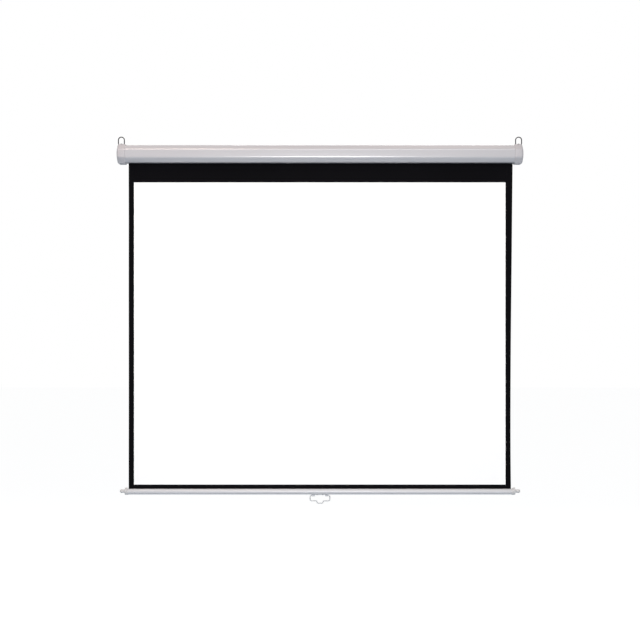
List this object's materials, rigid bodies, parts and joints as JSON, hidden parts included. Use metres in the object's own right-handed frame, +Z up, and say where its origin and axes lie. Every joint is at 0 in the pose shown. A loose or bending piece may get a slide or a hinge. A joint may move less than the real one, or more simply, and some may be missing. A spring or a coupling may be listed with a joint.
{
  "type": "pull down projector screen",
  "caption": "Manual pull down projector screen: eight-sided casing with end caps and hanging rings, spring roller, white cloth with black border, bottom bar and wire pull handle.",
  "frame": {"origin": "midway between the two hanging rings, at the height where a hook bears inside their tops", "axes": "+X to the viewer's right along the casing, +Y towards the wall, +Z up"},
  "size_m": [1.639, 0.079, 1.4825],
  "materials": {
    "painted_steel": "light grey coat, satin",
    "cap_plastic": "light grey moulding, fine grain",
    "painted_bar": "pale grey coat, satin",
    "plug_plastic": "light grey moulding",
    "handle_wire": "light grey coat",
    "dark_zinc": "dark plated steel",
    "zinc_steel": "bright plated steel",
    "bare_steel": "bare rolled steel",
    "spring_steel": "oiled wire",
    "black_plastic": "black moulding",
    "white_nylon": "natural nylon",
    "screen_fabric": "matt white coated cloth with a black border"
  },
  "bodies": {
    "housing": {"casing_tube": "painted_steel", "end_cap_left": "cap_plastic", "end_cap_right": "cap_plastic", "roller_bracket_left": "zinc_steel", "roller_bracket_right": "zinc_steel", "cap_screw_left_lower": "zinc_steel", "cap_screw_left_upper": "zinc_steel", "cap_screw_right_lower": "zinc_steel", "cap_screw_right_upper": "zinc_steel", "bracket_screw_left_lower": "zinc_steel", "bracket_screw_left_upper": "zinc_steel", "bracket_screw_right_lower": "zinc_steel", "bracket_screw_right_upper": "zinc_steel", "ring_clip_left": "dark_zinc", "ring_clip_right": "dark_zinc", "clip_screw_left": "dark_zinc", "clip_screw_right": "dark_zinc", "spring_shaft": "zinc_steel", "ratchet_hub": "zinc_steel", "spring_collar": "black_plastic", "idle_bush": "white_nylon"},
    "roller": {"roller_tube": "bare_steel", "lock_head": "black_plastic", "idle_plug": "black_plastic", "pawl_pin": "zinc_steel", "idle_pin": "zinc_steel", "torsion_spring": "spring_steel", "shaft_bearing": "white_nylon", "cloth_wraps": "screen_fabric"},
    "lock_pawl": {"lock_pawl": "zinc_steel"},
    "screen_bar": {"screen_cloth": "screen_fabric", "hem_rod": "spring_steel", "bottom_bar": "painted_bar", "handle_bracket": "painted_bar", "bar_plug_left": "plug_plastic", "bar_plug_right": "plug_plastic", "handle_screw_left": "zinc_steel", "handle_screw_right": "zinc_steel"},
    "pull_handle": {"pull_handle": "handle_wire"},
    "hanging_ring_left": {"hanging_ring_left": "dark_zinc"},
    "hanging_ring_right": {"hanging_ring_right": "dark_zinc"}
  },
  "joints": [
    {"name": "bar_travel", "type": "slide", "parent": "housing", "child": "screen_bar", "axis": [0, 0, 1], "range_m": [0, 1.3036], "deforming": ["screen_cloth"]},
    {"name": "roller_spin", "type": "hinge", "parent": "housing", "child": "roller", "pos_m": [0, -0.02, -0.0698], "axis": [1, 0, 0], "range_deg": [0, 4321]},
    {"name": "pawl_swing", "type": "hinge", "parent": "roller", "child": "lock_pawl", "pos_m": [-0.7903, -0.0115, -0.0803], "axis": [-1, 0, 0], "range_deg": [0, 24]},
    {"name": "handle_swing", "type": "hinge", "parent": "screen_bar", "child": "pull_handle", "pos_m": [0, -0.00473, -1.445], "axis": [1, 0, 0], "range_deg": [-85, 85]},
    {"name": "ring_swing_left", "type": "hinge", "parent": "housing", "child": "hanging_ring_left", "pos_m": [-0.8027, 0, -0.0279], "axis": [1, 0, 0], "range_deg": [-90, 90]},
    {"name": "ring_swing_right", "type": "hinge", "parent": "housing", "child": "hanging_ring_right", "pos_m": [0.8027, 0, -0.0279], "axis": [1, 0, 0], "range_deg": [-90, 90]}
  ],
  "couplings": [
    {"joint": "roller_spin", "follows": "bar_travel", "rad_per_m": 57.839}
  ]
}
